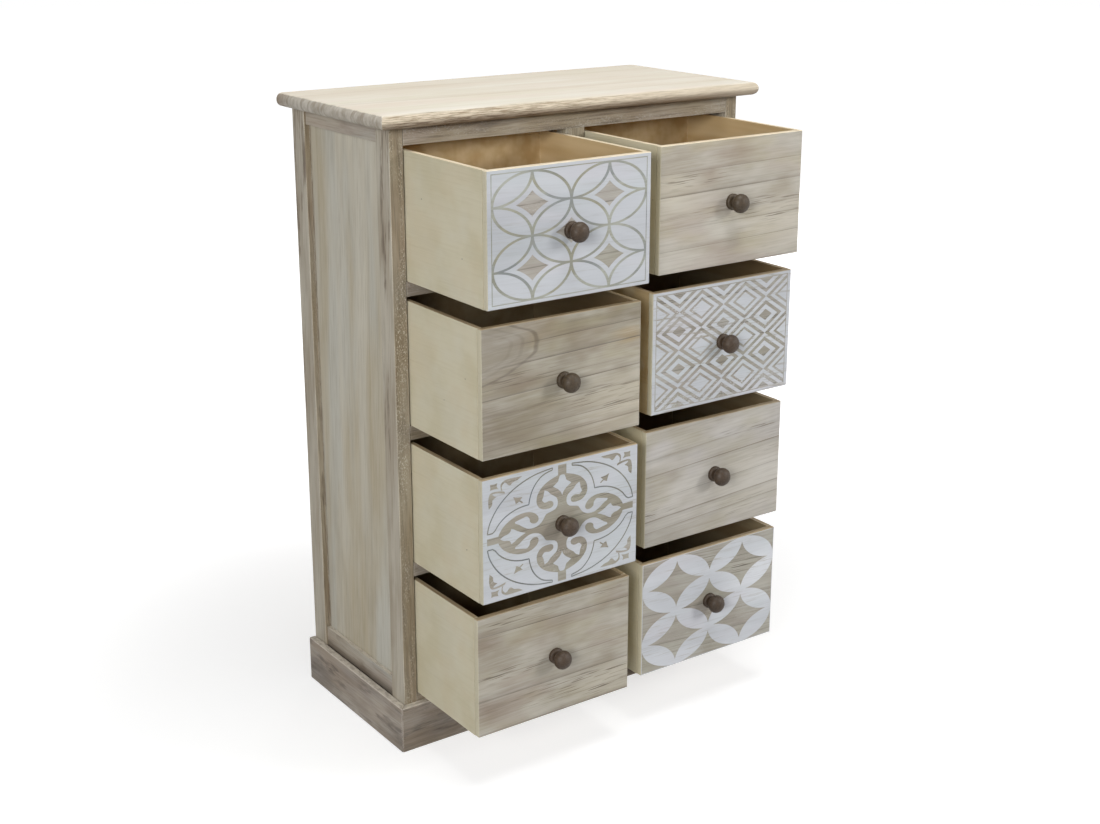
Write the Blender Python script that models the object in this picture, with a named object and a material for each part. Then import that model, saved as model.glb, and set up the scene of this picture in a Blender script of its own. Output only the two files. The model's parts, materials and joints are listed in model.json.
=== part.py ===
"""A chiffonier: a narrow chest of eight drawers in two columns of four, in light whitewashed wood.

Metres, +Z up, the drawers open towards -Y and +X is to the right of someone who faces them. The
chest stands on the floor at z = 0, and the origin is the middle of the floor area that it takes
up with its drawers pulled out as they are here. The carcass pieces are placed in the carcass's own
frame, whose y = 0 is the front face of the posts. Each drawer's pieces hang on that drawer's own
empty, which lies on the line that the drawer slides along.
"""

import math

import bmesh
import bpy
from mathutils import Vector

# Fits that every piece shares
FIT_GAP = 0.0003  # glue line or running gap between two faces that meet
CUT_OVERRUN = 0.004  # how far a cutter runs past the face that it opens
EDGE_EASE = 0.0008  # chamfer that sanding leaves on an edge
THIN_EASE_SHARE = 0.25  # of a thin board, the most that its edges are eased
SMOOTH_ANGLE = math.radians(35)  # between faces of a round surface

# Carcass frame
CARCASS_WIDTH = 0.560  # over the outer faces of the posts
CARCASS_DEPTH = 0.258  # front of the front posts to back of the back posts
POST_WIDTH = 0.020
POST_DEPTH = 0.033
RAIL_THICKNESS = 0.019  # front rails and mullion, front to back
ROW_RAIL_HEIGHT = 0.019  # between two rows of drawers
TOP_RAIL_HEIGHT = 0.023
BOTTOM_RAIL_HEIGHT = 0.030
BOTTOM_RAIL_SHOWS = 0.011  # of its height, above the plinth
MULLION_WIDTH = 0.030
TENON_THICKNESS = 0.008
TENON_LENGTH = 0.008

# Frame and panel sides
SIDE_RAIL_SETBACK = 0.003  # behind the outer face of the posts
SIDE_RAIL_THICKNESS = 0.015
SIDE_TOP_RAIL_HEIGHT = 0.022
SIDE_BOTTOM_RAIL_HEIGHT = 0.046
SIDE_BOTTOM_RAIL_SHOWS = 0.026  # of its height, above the plinth
PANEL_SETBACK = 0.0085
PANEL_THICKNESS = 0.005
GROOVE_DEPTH = 0.005
SIDE_GUIDE_WIDTH = 0.040

# Inside boards
SHELF_THICKNESS = 0.009
PARTITION_THICKNESS = 0.018
BACK_THICKNESS = 0.004
BACK_INSET = 0.002  # in front of the back face of the posts

# Top board and plinth
TOP_THICKNESS = 0.018
TOP_OVERHANG = 0.022
TOP_CORNER_RADIUS = 0.0015
NOSE_SHARE = 0.47  # of the top board's thickness, that each half of its round nose takes
NOSE_STEPS = 6
CORNER_STEPS = 3
PLINTH_HEIGHT = 0.065
PLINTH_THICKNESS = 0.010

# Drawers
ROWS = 4
DRAWER_HEIGHT = 0.165
DRAWER_LIFT = 0.0004  # above the shelf that it runs on
DRAWER_TOP_CLEARANCE = 0.0061
DRAWER_SIDE_CLEARANCE = 0.0022
DRAWER_BACK_CLEARANCE = 0.017  # to the back panel, with the drawer closed
FRONT_THICKNESS = 0.0085
DRAWER_SIDE_THICKNESS = 0.0065
DRAWER_BOTTOM_THICKNESS = 0.003
DRAWER_BOTTOM_UP = 0.006  # underside of the bottom above the lower edge of the drawer
DRAWER_GROOVE_DEPTH = 0.003
COLUMNS = {"left": -1, "right": 1}
# How far each drawer stands open, top row first, as shares of the drawer's length
PULL_SHARES = {
    "left": (0.775, 0.710, 0.700, 0.640),
    "right": (0.672, 0.628, 0.590, 0.577),
}

# Knobs
KNOB_LENGTH = 0.0265
KNOB_FLANGE_RADIUS = 0.0108
KNOB_NECK_RADIUS = 0.0062
KNOB_NECK_START = 0.0056
KNOB_NECK_END = 0.0090
KNOB_HEAD_RADIUS = 0.0127
KNOB_HEAD_AT = 0.0172  # the widest place of the head, in front of the drawer
KNOB_TENON_RADIUS = 0.004
KNOB_TENON_LENGTH = 0.006
KNOB_SIDES = 24
KNOB_ARC_STEPS = 5

# Heights, from the floor up
LOWEST_OPENING = PLINTH_HEIGHT + BOTTOM_RAIL_SHOWS
OPENING_HEIGHT = DRAWER_HEIGHT + DRAWER_LIFT + DRAWER_TOP_CLEARANCE
ROW_PITCH = OPENING_HEIGHT + ROW_RAIL_HEIGHT
TOP_RAIL_LOW = LOWEST_OPENING + ROWS * ROW_PITCH - ROW_RAIL_HEIGHT
TOP_UNDERSIDE = TOP_RAIL_LOW + TOP_RAIL_HEIGHT
FRAME_TOP = TOP_UNDERSIDE - FIT_GAP
SIDE_TOP_RAIL_LOW = TOP_UNDERSIDE - SIDE_TOP_RAIL_HEIGHT
SIDE_BOTTOM_RAIL_TOP = PLINTH_HEIGHT + SIDE_BOTTOM_RAIL_SHOWS

# Widths and depths, from the carcass's middle and from its front
HALF_WIDTH = CARCASS_WIDTH / 2
INNER_HALF = HALF_WIDTH - POST_WIDTH
OPENING_WIDTH = INNER_HALF - MULLION_WIDTH / 2
COLUMN_OFFSET = (INNER_HALF + MULLION_WIDTH / 2) / 2
DRAWER_WIDTH = OPENING_WIDTH - 2 * DRAWER_SIDE_CLEARANCE
BACK_FRONT_FACE = CARCASS_DEPTH - BACK_INSET - BACK_THICKNESS
DRAWER_LENGTH = BACK_FRONT_FACE - DRAWER_BACK_CLEARANCE
BOARD_FRONT = RAIL_THICKNESS + FIT_GAP
BOARD_BACK = BACK_FRONT_FACE - FIT_GAP
BOARD_MIDDLE = (BOARD_FRONT + BOARD_BACK) / 2

LONGEST_PULL = DRAWER_LENGTH * max(max(shares) for shares in PULL_SHARES.values())
REACH = LONGEST_PULL + KNOB_LENGTH
FRONT_Y = (REACH - CARCASS_DEPTH) / 2


def opening_low(row):
    """Height of the lower edge of the opening of a row, counted from 1 at the top."""
    return LOWEST_OPENING + (ROWS - row) * ROW_PITCH


def clear_scene():
    for thing in list(bpy.data.objects):
        bpy.data.objects.remove(thing, do_unlink=True)


def finish(name, colour, roughness):
    """A plain painted or waxed wood finish."""
    made = bpy.data.materials.new(name)
    made.use_nodes = True
    shader = made.node_tree.nodes["Principled BSDF"]
    shader.inputs["Base Color"].default_value = (*colour, 1.0)
    shader.inputs["Roughness"].default_value = roughness
    shader.inputs["Metallic"].default_value = 0.0
    made.diffuse_color = (*colour, 1.0)
    return made


def add_empty(name, place):
    empty = bpy.data.objects.new(name, None)
    empty.location = place
    bpy.context.collection.objects.link(empty)
    return empty


def add_object(name, shape, look, parent, place):
    """Makes an object of a bmesh, which is in the object's own frame."""
    bmesh.ops.recalc_face_normals(shape, faces=shape.faces)
    mesh = bpy.data.meshes.new(name)
    shape.to_mesh(mesh)
    shape.free()
    thing = bpy.data.objects.new(name, mesh)
    bpy.context.collection.objects.link(thing)
    thing.parent = parent
    thing.location = place
    if look:
        mesh.materials.append(look)
    return thing


def block_shape(size):
    shape = bmesh.new()
    bmesh.ops.create_cube(shape, size=1)
    bmesh.ops.scale(shape, vec=size, verts=shape.verts)
    return shape


def plank(name, low, high, look, parent):
    """A squared board between two corners, with its edges eased."""
    low, high = Vector(low), Vector(high)
    shape = block_shape(high - low)
    ease = min(EDGE_EASE, THIN_EASE_SHARE * min(high - low))
    bmesh.ops.bevel(shape, geom=shape.edges[:], offset=ease, segments=1, affect="EDGES")
    return add_object(name, shape, look, parent, (low + high) / 2)


def prism(name, outline, along, start, end, look, parent):
    """An outline drawn across one axis and carried along it. The outline's two coordinates
    are the other two axes, in the order x, y, z."""
    shape = bmesh.new()
    across = [axis for axis in range(3) if axis != along]
    corners = []
    for point in outline:
        spot = Vector()
        spot[across[0]], spot[across[1]] = point
        corners.append(shape.verts.new(spot))
    face = shape.faces.new(corners)
    carried = bmesh.ops.extrude_face_region(shape, geom=[face])
    length = Vector()
    length[along] = end - start
    moved = [part for part in carried["geom"] if isinstance(part, bmesh.types.BMVert)]
    bmesh.ops.translate(shape, vec=length, verts=moved)
    place = Vector()
    place[along] = start
    return add_object(name, shape, look, parent, place)


def cutter_box(name, low, high, parent):
    """A block that is cut away from other pieces."""
    low, high = Vector(low), Vector(high)
    return as_cutter(add_object(name, block_shape(high - low), None, parent, (low + high) / 2))


def as_cutter(thing):
    thing.hide_render = True
    thing.display_type = "WIRE"
    return thing


def cut(thing, cutter):
    modifier = thing.modifiers.new(cutter.name, "BOOLEAN")
    modifier.operation = "DIFFERENCE"
    modifier.solver = "EXACT"
    modifier.object = cutter


def grown(low, high):
    """The two corners of a block, moved out by the gap that its neighbours keep."""
    gap = Vector((FIT_GAP, FIT_GAP, FIT_GAP))
    return Vector(low) - gap, Vector(high) + gap


def ordered(low, high):
    """Low and high corners of a block given by any two opposite corners."""
    return Vector(map(min, low, high)), Vector(map(max, low, high))


def panel_corners(side):
    """The side panel's corners, with the tongues that sit in the grooves around it."""
    outer = side * (HALF_WIDTH - PANEL_SETBACK)
    inner = side * (HALF_WIDTH - PANEL_SETBACK - PANEL_THICKNESS)
    return ordered(
        (outer, POST_DEPTH - GROOVE_DEPTH, SIDE_BOTTOM_RAIL_TOP - GROOVE_DEPTH),
        (inner, CARCASS_DEPTH - POST_DEPTH + GROOVE_DEPTH, SIDE_TOP_RAIL_LOW + GROOVE_DEPTH),
    )


def add_panel(name, side, look, carcass):
    low, high = panel_corners(side)
    plank(name, low, high, look, carcass)


def panel_groove_cutter(side, carcass):
    """Takes the grooves for a side's panel, and for its rails' tongues, out of its posts."""
    low, high = grown(*panel_corners(side))
    low.z = -CUT_OVERRUN
    high.z = TOP_UNDERSIDE + CUT_OVERRUN
    return cutter_box(f"cut_post_groove_{side}", low, high, carcass)


def add_post(name, side, at_front, look, carcass):
    front = 0 if at_front else CARCASS_DEPTH - POST_DEPTH
    low, high = ordered(
        (side * HALF_WIDTH, front, 0), (side * INNER_HALF, front + POST_DEPTH, FRAME_TOP)
    )
    return plank(name, low, high, look, carcass)


def front_rail_outline(lapped):
    """Plan of a front rail: a tenon at each end, and a halving for the mullion if it crosses."""
    shoulder = INNER_HALF - FIT_GAP
    tip = INNER_HALF + TENON_LENGTH
    cheek = (RAIL_THICKNESS - TENON_THICKNESS) / 2
    lap = (RAIL_THICKNESS + FIT_GAP) / 2
    notch = MULLION_WIDTH / 2 + FIT_GAP
    half = [
        (shoulder, 0),
        (shoulder, cheek),
        (tip, cheek),
        (tip, cheek + TENON_THICKNESS),
        (shoulder, cheek + TENON_THICKNESS),
        (shoulder, RAIL_THICKNESS),
    ]
    front = [(notch, lap), (notch, 0)] if lapped else []
    right = front + half
    return right + [(-x, y) for x, y in reversed(right)]


def add_front_rail(name, low, high, lapped, look, carcass):
    prism(name, front_rail_outline(lapped), 2, low, high, look, carcass)


def cut_mortises(post, side, name, low, high, carcass):
    """Cuts the mortise for one front rail into a front post."""
    cheek = (RAIL_THICKNESS - TENON_THICKNESS) / 2
    corners = grown(
        *ordered(
            (side * (INNER_HALF - CUT_OVERRUN), cheek, low),
            (side * (INNER_HALF + TENON_LENGTH), cheek + TENON_THICKNESS, high),
        )
    )
    cut(post, cutter_box(f"cut_mortise_{name}_{side}", *corners, carcass))


def side_rail_outline(side):
    """Plan of a side rail: a tongue at each end that sits in the post's groove."""
    outer = HALF_WIDTH - SIDE_RAIL_SETBACK
    inner = outer - SIDE_RAIL_THICKNESS
    tongue_outer = HALF_WIDTH - PANEL_SETBACK
    tongue_inner = tongue_outer - PANEL_THICKNESS
    shoulder = POST_DEPTH + FIT_GAP
    tip = POST_DEPTH - GROOVE_DEPTH
    front = [
        (outer, shoulder),
        (tongue_outer, shoulder),
        (tongue_outer, tip),
        (tongue_inner, tip),
        (tongue_inner, shoulder),
        (inner, shoulder),
    ]
    back = [(x, CARCASS_DEPTH - y) for x, y in reversed(front)]
    return [(side * x, y) for x, y in front + back]


def add_side_rail(name, side, low, high, look, carcass):
    rail = prism(name, side_rail_outline(side), 2, low, high, look, carcass)
    cut(rail, cutter_box("cut_" + name, *grown(*panel_corners(side)), carcass))


def add_side_guide(name, side, look, carcass):
    """An upright slat inside the panel, level with the posts, that keeps the drawers straight."""
    panel_inner = HALF_WIDTH - PANEL_SETBACK - PANEL_THICKNESS
    middle = CARCASS_DEPTH / 2
    low, high = ordered(
        (side * (panel_inner - FIT_GAP), middle - SIDE_GUIDE_WIDTH / 2, SIDE_BOTTOM_RAIL_TOP + FIT_GAP),
        (side * INNER_HALF, middle + SIDE_GUIDE_WIDTH / 2, SIDE_TOP_RAIL_LOW - FIT_GAP),
    )
    plank(name, low, high, look, carcass)


def add_mullion(look, carcass):
    """The upright between the columns, halved over the row rails."""
    lap = (RAIL_THICKNESS - FIT_GAP) / 2
    outline = [(0, LOWEST_OPENING + FIT_GAP), (RAIL_THICKNESS, LOWEST_OPENING + FIT_GAP)]
    for row in range(ROWS - 1, 0, -1):
        rail_top = opening_low(row) + FIT_GAP
        rail_low = opening_low(row) - ROW_RAIL_HEIGHT - FIT_GAP
        outline += [
            (RAIL_THICKNESS, rail_low),
            (lap, rail_low),
            (lap, rail_top),
            (RAIL_THICKNESS, rail_top),
        ]
    outline += [(RAIL_THICKNESS, TOP_RAIL_LOW - FIT_GAP), (0, TOP_RAIL_LOW - FIT_GAP)]
    half = MULLION_WIDTH / 2
    prism("mullion", outline, 0, -half, half, look, carcass)


def add_partition(look, carcass):
    """The upright board between the columns, slotted from the back over the shelves."""
    lap = BOARD_MIDDLE - FIT_GAP / 2
    outline = [(BOARD_FRONT, LOWEST_OPENING + FIT_GAP), (BOARD_BACK, LOWEST_OPENING + FIT_GAP)]
    for row in range(ROWS - 1, 0, -1):
        shelf_top = opening_low(row) + FIT_GAP
        shelf_low = opening_low(row) - SHELF_THICKNESS - FIT_GAP
        outline += [
            (BOARD_BACK, shelf_low),
            (lap, shelf_low),
            (lap, shelf_top),
            (BOARD_BACK, shelf_top),
        ]
    outline += [(BOARD_BACK, FRAME_TOP), (BOARD_FRONT, FRAME_TOP)]
    half = PARTITION_THICKNESS / 2
    prism("partition", outline, 0, -half, half, look, carcass)


def add_shelf(name, row, slotted, look, carcass):
    """The board under a row of drawers, slotted from the front for the partition."""
    side = INNER_HALF - FIT_GAP
    slot = PARTITION_THICKNESS / 2 + FIT_GAP
    end = BOARD_MIDDLE + FIT_GAP / 2
    front = [(slot, end), (slot, BOARD_FRONT)] if slotted else []
    right = front + [(side, BOARD_FRONT), (side, BOARD_BACK)]
    outline = right + [(-x, y) for x, y in reversed(right)]
    top = opening_low(row)
    prism(name, outline, 2, top - SHELF_THICKNESS, top, look, carcass)


def add_back_panel(look, carcass):
    side = INNER_HALF - FIT_GAP
    low = (-side, BACK_FRONT_FACE, LOWEST_OPENING - SHELF_THICKNESS)
    plank("back_panel", low, (side, CARCASS_DEPTH - BACK_INSET, FRAME_TOP), look, carcass)


def top_outline(inset):
    """The top board's outline, this far inside its widest one on all sides but the square back."""
    side = HALF_WIDTH + TOP_OVERHANG - inset
    middle_x = side - TOP_CORNER_RADIUS
    middle_y = inset - TOP_OVERHANG + TOP_CORNER_RADIUS
    turns = [math.pi / 2 * step / CORNER_STEPS for step in range(CORNER_STEPS + 1)]
    corner = [
        (middle_x + TOP_CORNER_RADIUS * math.sin(turn), middle_y - TOP_CORNER_RADIUS * math.cos(turn))
        for turn in turns
    ]
    right = corner + [(side, CARCASS_DEPTH)]
    return right + [(-x, y) for x, y in reversed(right)]


def add_top_board(look, carcass):
    """The top: its left, front and right edges carry a half-round nose, its back is square."""
    radius = NOSE_SHARE * TOP_THICKNESS
    shape = bmesh.new()
    levels = []
    for step in range(-NOSE_STEPS, NOSE_STEPS + 1):
        turn = math.pi / 2 * step / NOSE_STEPS
        outline = top_outline(radius * (1 - math.cos(turn)))
        height = radius * math.sin(turn)
        straights = (-1, 1) if step == 0 else (math.copysign(1, step),)
        for straight in straights:
            lifted = height + straight * (TOP_THICKNESS / 2 - radius)
            levels.append([shape.verts.new((x, y, lifted)) for x, y in outline])
    shape.faces.new(levels[0])
    shape.faces.new(levels[-1])
    for below, above in zip(levels, levels[1:]):
        for k in range(len(below)):
            shape.faces.new((below[k - 1], below[k], above[k], above[k - 1]))
    place = (0, 0, TOP_UNDERSIDE + TOP_THICKNESS / 2)
    smooth(add_object("top_board", shape, look, carcass, place))


def smooth(thing):
    thing.data.shade_smooth()
    thing.data.set_sharp_from_angle(angle=SMOOTH_ANGLE)


def add_plinth(look, carcass):
    """Three skirting boards on the outer faces of the posts, mitred at the two front corners."""
    inner = HALF_WIDTH + FIT_GAP
    outer = inner + PLINTH_THICKNESS
    front = -FIT_GAP - PLINTH_THICKNESS
    outline = [
        (-outer + FIT_GAP, front),
        (outer - FIT_GAP, front),
        (inner - FIT_GAP, -FIT_GAP),
        (-inner + FIT_GAP, -FIT_GAP),
    ]
    ease_edges(prism("plinth_front", outline, 2, 0, PLINTH_HEIGHT, look, carcass))
    for name, side in COLUMNS.items():
        outline = [
            (side * outer, front + FIT_GAP),
            (side * outer, CARCASS_DEPTH),
            (side * inner, CARCASS_DEPTH),
            (side * inner, 0),
        ]
        ease_edges(prism(f"plinth_{name}", outline, 2, 0, PLINTH_HEIGHT, look, carcass))


def ease_edges(thing):
    modifier = thing.modifiers.new("eased edges", "BEVEL")
    modifier.width = EDGE_EASE
    modifier.segments = 1
    modifier.limit_method = "NONE"


def build_carcass(looks):
    carcass = add_empty("carcass", (0, FRONT_Y, 0))
    frame, board = looks["frame"], looks["inside"]
    rails = {"front_top_rail": (TOP_RAIL_LOW, FRAME_TOP, False)}
    for row in range(1, ROWS):
        low = opening_low(row) - ROW_RAIL_HEIGHT
        rails[f"front_rail_{row}"] = (low, opening_low(row), True)
    rails["front_bottom_rail"] = (LOWEST_OPENING - BOTTOM_RAIL_HEIGHT, LOWEST_OPENING, False)
    for name, (low, high, lapped) in rails.items():
        add_front_rail(name, low, high, lapped, frame, carcass)
    for name, side in COLUMNS.items():
        groove = panel_groove_cutter(side, carcass)
        front_post = add_post(f"post_front_{name}", side, True, frame, carcass)
        back_post = add_post(f"post_back_{name}", side, False, frame, carcass)
        cut(front_post, groove)
        cut(back_post, groove)
        for rail, (low, high, _) in rails.items():
            cut_mortises(front_post, side, rail, low, high, carcass)
        bottom_low = SIDE_BOTTOM_RAIL_TOP - SIDE_BOTTOM_RAIL_HEIGHT
        add_side_rail(f"side_top_rail_{name}", side, SIDE_TOP_RAIL_LOW, FRAME_TOP, frame, carcass)
        add_side_rail(f"side_bottom_rail_{name}", side, bottom_low, SIDE_BOTTOM_RAIL_TOP, frame, carcass)
        add_panel(f"side_panel_{name}", side, looks["panel"], carcass)
        add_side_guide(f"side_guide_{name}", side, board, carcass)
    add_mullion(frame, carcass)
    add_partition(board, carcass)
    for row in range(1, ROWS):
        add_shelf(f"shelf_{row}", row, True, board, carcass)
    add_shelf("bottom_board", ROWS, False, board, carcass)
    add_back_panel(board, carcass)
    add_top_board(looks["top"], carcass)
    add_plinth(frame, carcass)


def arc(centre_r, centre_y, radius_r, radius_y, start, end, steps):
    """Points along an elliptical arc, as (radius from the axis, distance in front)."""
    return [
        (
            centre_r + radius_r * math.cos(start + (end - start) * step / steps),
            centre_y + radius_y * math.sin(start + (end - start) * step / steps),
        )
        for step in range(steps + 1)
    ]


def knob_profile():
    """The turned outline from the tip of the head to the end of the tenon."""
    quarter = math.pi / 2
    dome = KNOB_LENGTH - KNOB_HEAD_AT
    head_front = arc(0, KNOB_HEAD_AT, KNOB_HEAD_RADIUS, dome, quarter, 0, KNOB_ARC_STEPS)
    head_back = arc(
        KNOB_NECK_RADIUS,
        KNOB_HEAD_AT,
        KNOB_HEAD_RADIUS - KNOB_NECK_RADIUS,
        KNOB_HEAD_AT - KNOB_NECK_END,
        0,
        -quarter,
        KNOB_ARC_STEPS,
    )
    flange = arc(
        KNOB_NECK_RADIUS,
        KNOB_NECK_START / 2,
        KNOB_FLANGE_RADIUS - KNOB_NECK_RADIUS,
        KNOB_NECK_START / 2,
        quarter,
        0,
        KNOB_ARC_STEPS,
    )
    foot = [
        (KNOB_FLANGE_RADIUS, FIT_GAP),
        (KNOB_TENON_RADIUS, FIT_GAP),
        (KNOB_TENON_RADIUS, -KNOB_TENON_LENGTH),
        (0, -KNOB_TENON_LENGTH),
    ]
    return head_front + head_back[1:] + flange + foot


def turned(profile):
    """A shape turned about the Y axis from (radius, distance in front) points."""
    shape = bmesh.new()
    verts = [shape.verts.new((radius, -ahead, 0)) for radius, ahead in profile]
    edges = [shape.edges.new(pair) for pair in zip(verts, verts[1:])]
    bmesh.ops.spin(
        shape,
        geom=verts + edges,
        axis=(0, 1, 0),
        cent=(0, 0, 0),
        angle=2 * math.pi,
        steps=KNOB_SIDES,
        use_merge=True,
    )
    bmesh.ops.remove_doubles(shape, verts=shape.verts, dist=FIT_GAP / KNOB_SIDES)
    return shape


def tenon_cutter(name, parent, place):
    """Takes the hole for a knob's tenon out of a drawer front."""
    radius = KNOB_TENON_RADIUS + FIT_GAP
    depth = KNOB_TENON_LENGTH + FIT_GAP
    profile = [(0, CUT_OVERRUN), (radius, CUT_OVERRUN), (radius, -depth), (0, -depth)]
    return as_cutter(add_object(name, turned(profile), None, parent, place))


def drawer_box_outline():
    """Plan of the two sides and the back, which stand behind the front."""
    outer = DRAWER_WIDTH / 2
    inner = outer - DRAWER_SIDE_THICKNESS
    front = FRONT_THICKNESS + FIT_GAP
    back = DRAWER_LENGTH - DRAWER_SIDE_THICKNESS
    right = [(inner, back), (inner, front), (outer, front), (outer, DRAWER_LENGTH)]
    return right + [(-x, y) for x, y in reversed(right)]


def build_drawer(row, column, looks):
    name = f"drawer_{row}_{column}"
    pull = PULL_SHARES[column][row - 1] * DRAWER_LENGTH
    spot = (COLUMNS[column] * COLUMN_OFFSET, FRONT_Y - pull, opening_low(row) + DRAWER_LIFT)
    drawer = add_empty(name, spot)
    half = DRAWER_WIDTH / 2

    inner = half - DRAWER_SIDE_THICKNESS + DRAWER_GROOVE_DEPTH - FIT_GAP
    low = (-inner, FRONT_THICKNESS - DRAWER_GROOVE_DEPTH + FIT_GAP, DRAWER_BOTTOM_UP)
    high = (
        inner,
        DRAWER_LENGTH - DRAWER_SIDE_THICKNESS + DRAWER_GROOVE_DEPTH - FIT_GAP,
        DRAWER_BOTTOM_UP + DRAWER_BOTTOM_THICKNESS,
    )
    plank(name + "_bottom", low, high, looks["bottom"], drawer)
    groove = cutter_box(f"cut_{name}_groove", *grown(low, high), drawer)

    front = plank(
        name + "_front", (-half, 0, 0), (half, FRONT_THICKNESS, DRAWER_HEIGHT), looks["front"], drawer
    )
    cut(front, groove)
    box = prism(name + "_box", drawer_box_outline(), 2, 0, DRAWER_HEIGHT, looks["box"], drawer)
    cut(box, groove)

    middle = (0, 0, DRAWER_HEIGHT / 2)
    cut(front, tenon_cutter(f"cut_{name}_tenon", drawer, middle))
    smooth(add_object(name + "_knob", turned(knob_profile()), looks["knob"], drawer, middle))


def main():
    clear_scene()
    looks = {
        "frame": finish("whitewashed_frame", (0.50, 0.46, 0.40), 0.7),
        "panel": finish("whitewashed_panel", (0.58, 0.55, 0.47), 0.7),
        "top": finish("whitewashed_top", (0.76, 0.69, 0.56), 0.65),
        "inside": finish("bare_board", (0.62, 0.48, 0.31), 0.75),
        "front": finish("whitewashed_front", (0.60, 0.55, 0.47), 0.7),
        "box": finish("drawer_side_wood", (0.70, 0.63, 0.44), 0.7),
        "bottom": finish("drawer_bottom_wood", (0.55, 0.38, 0.20), 0.75),
        "knob": finish("dark_turned_wood", (0.13, 0.09, 0.065), 0.5),
    }
    build_carcass(looks)
    for row in range(1, ROWS + 1):
        for column in COLUMNS:
            build_drawer(row, column, looks)


main()
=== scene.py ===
import itertools
import json
import math

import bmesh
import bpy
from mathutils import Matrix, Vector
from mathutils.geometry import delaunay_2d_cdt

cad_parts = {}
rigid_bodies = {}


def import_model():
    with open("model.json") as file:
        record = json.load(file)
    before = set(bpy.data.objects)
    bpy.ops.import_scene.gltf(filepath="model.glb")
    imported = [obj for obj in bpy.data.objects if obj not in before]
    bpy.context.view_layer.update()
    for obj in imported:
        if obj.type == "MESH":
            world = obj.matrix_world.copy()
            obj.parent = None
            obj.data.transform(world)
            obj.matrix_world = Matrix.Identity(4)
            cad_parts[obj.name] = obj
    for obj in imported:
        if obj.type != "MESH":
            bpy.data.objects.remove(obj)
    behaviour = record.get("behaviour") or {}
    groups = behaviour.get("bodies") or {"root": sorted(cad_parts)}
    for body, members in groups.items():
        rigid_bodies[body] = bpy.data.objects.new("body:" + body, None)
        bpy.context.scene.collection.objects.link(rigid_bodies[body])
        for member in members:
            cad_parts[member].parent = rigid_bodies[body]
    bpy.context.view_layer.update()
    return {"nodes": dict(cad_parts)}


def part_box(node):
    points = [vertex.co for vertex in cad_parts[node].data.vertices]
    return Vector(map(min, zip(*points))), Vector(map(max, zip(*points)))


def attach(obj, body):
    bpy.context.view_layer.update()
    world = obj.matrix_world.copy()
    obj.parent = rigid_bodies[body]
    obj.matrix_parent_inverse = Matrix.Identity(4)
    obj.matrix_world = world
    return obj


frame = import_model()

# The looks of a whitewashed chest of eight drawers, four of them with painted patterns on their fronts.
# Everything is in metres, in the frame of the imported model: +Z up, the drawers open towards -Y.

MM = 0.001
COLUMNS = ("left", "right")
DRAWERS = [f"drawer_{row}_{column}" for row in (1, 2, 3, 4) for column in COLUMNS]

# The camera, from the lines of the photograph
CAMERA_PLACE = (-1.2584, -1.7499, 1.1301)
CAMERA_YAW = 35.23  # degrees to the right of straight ahead
CAMERA_PITCH = -16.68
CAMERA_LENS = 53.33
SENSOR_WIDTH = 36
CAMERA_SHIFT = -0.04

# A coat of paint on a front
PAINT_THICKNESS = 0.0002
PAINT_SUNK = 0.0001  # how far its back lies in the wood
GROOVE_THICKNESS = 0.00005  # the stain that stands in a line cut through it
EDGE_BARE = 0.0008  # the eased edge that the paint stops at
LINE_WIDTH = 0.0013  # the bare line around the painted fields
ARC_STEPS = 14


# Shader nodes

def tone(*levels):
    """A colour as seen on a screen, 11 to 255, as the linear colour that a shader takes."""
    return (*(((level / 255 + 0.055) / 1.055) ** 2.4 for level in levels), 1.0)


def new_material(name):
    """A material, its tree and its shader."""
    material = bpy.data.materials.new(name)
    material.use_nodes = True
    tree = material.node_tree
    return material, tree, tree.nodes["Principled BSDF"]


def put(tree, kind, inputs=None, **settings):
    """Adds a node and returns its first output. Inputs are numbers, colours or other sockets."""
    made = tree.nodes.new("ShaderNode" + kind)
    for name, value in settings.items():
        setattr(made, name, value)
    for name, value in (inputs or {}).items():
        socket = made.inputs[name]
        if isinstance(value, bpy.types.NodeSocket):
            tree.links.new(value, socket)
        else:
            socket.default_value = value
    return made.outputs[0]


def blend(tree, share, first, second):
    """Mixes two colours, each of them a socket or a tone as seen on a screen."""
    first, second = (tone(*one) if isinstance(one, tuple) else one for one in (first, second))
    return put(tree, "Mix", {0: share, 6: first, 7: second}, data_type="RGBA").node.outputs[2]


def extra(tree, kind, output, inputs=None, **settings):
    """Adds a node and returns one of its outputs by name."""
    return put(tree, kind, inputs, **settings).node.outputs[output]


def compute(tree, operation, first, second=0.0):
    return put(tree, "Math", {0: first, 1: second}, operation=operation)


def plus(tree, first, second):
    return compute(tree, "ADD", first, second)


def minus(tree, first, second):
    return compute(tree, "SUBTRACT", first, second)


def product(tree, first, *others):
    for other in others:
        first = compute(tree, "MULTIPLY", first, other)
    return first


def vector(tree, operation, first, second):
    return put(tree, "VectorMath", {0: first, 1: second}, operation=operation)


def dot(tree, first, second):
    return extra(tree, "VectorMath", "Value", {0: first, 1: second}, operation="DOT_PRODUCT")


def length(tree, first):
    return extra(tree, "VectorMath", "Value", {0: first}, operation="LENGTH")


def part(tree, axis, whole):
    """One of the three numbers of a vector."""
    return extra(tree, "SeparateXYZ", axis, {0: whole})


def sideways(tree, facing):
    """1 where a face looks left or right, and 0 where it looks to the front or up."""
    return compute(tree, "ABSOLUTE", part(tree, "X", facing))


def spot_of(tree):
    """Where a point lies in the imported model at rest."""
    return extra(tree, "TexCoord", "Object")


def between(tree, value, low, high, floor=0.0, top=1.0):
    """Goes softly from floor to top while the value goes from low to high."""
    inputs = {"Value": value, "From Min": low, "From Max": high, "To Min": floor, "To Max": top}
    return put(tree, "MapRange", inputs, interpolation_type="SMOOTHSTEP")


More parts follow.
